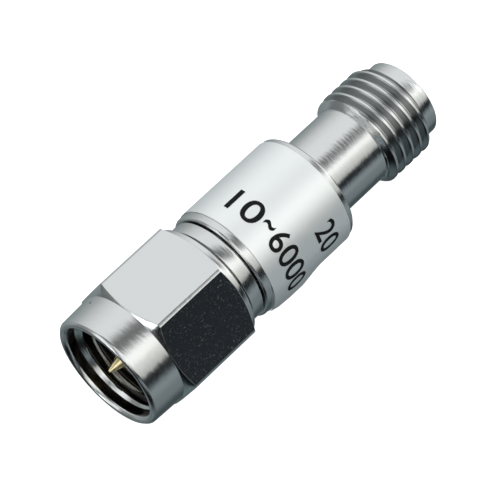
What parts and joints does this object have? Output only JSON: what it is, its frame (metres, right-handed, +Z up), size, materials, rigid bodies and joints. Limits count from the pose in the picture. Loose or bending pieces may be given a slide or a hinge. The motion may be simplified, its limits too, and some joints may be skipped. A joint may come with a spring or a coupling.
{
  "type": "rf attenuator",
  "caption": "Fixed coaxial RF attenuator: a metal barrel with a printed label, a threaded jack at one end and a plug with a spinning hexagon coupling nut at the other.",
  "frame": {"origin": "on the ground under the part's axis, at the middle of its length, with the part lying on one flat of its nut", "axes": "+X along the axis from the plug's mouth to the jack's lip, +Z up from the flat that it lies on"},
  "size_m": [0.0258, 0.0092, 0.008],
  "materials": {
    "nickel_plate": "bright nickel plate over turned brass, with fine turning marks",
    "spring_bronze": "plain spring bronze",
    "silicone": "matt silicone rubber",
    "ptfe": "turned white fluoropolymer",
    "gold_plate": "gold plate over a copper alloy",
    "label_film": "satin silver-white printed film",
    "carrier_brass": "turned brass",
    "alumina": "fired alumina",
    "silver_print": "fired silver print",
    "resistor_print": "fired resistor print"
  },
  "bodies": {
    "body": {"plug_shell": "nickel_plate", "nut_gasket": "silicone", "plug_insulator": "ptfe", "plug_pin": "gold_plate", "barrel": "nickel_plate", "label": "label_film", "jack_shell": "nickel_plate", "jack_insulator": "ptfe", "jack_contact": "gold_plate", "carrier_lower": "carrier_brass", "carrier_upper": "carrier_brass", "attenuator_card": "alumina", "card_terminals": "silver_print", "card_resistor": "resistor_print"},
    "nut": {"coupling_nut": "nickel_plate", "retaining_ring": "spring_bronze"}
  },
  "joints": [
    {"name": "nut_spin", "type": "hinge", "parent": "body", "child": "nut", "pos_m": [-0.00873, 0, 0.004], "axis": [1, 0, 0], "continuous": true}
  ]
}
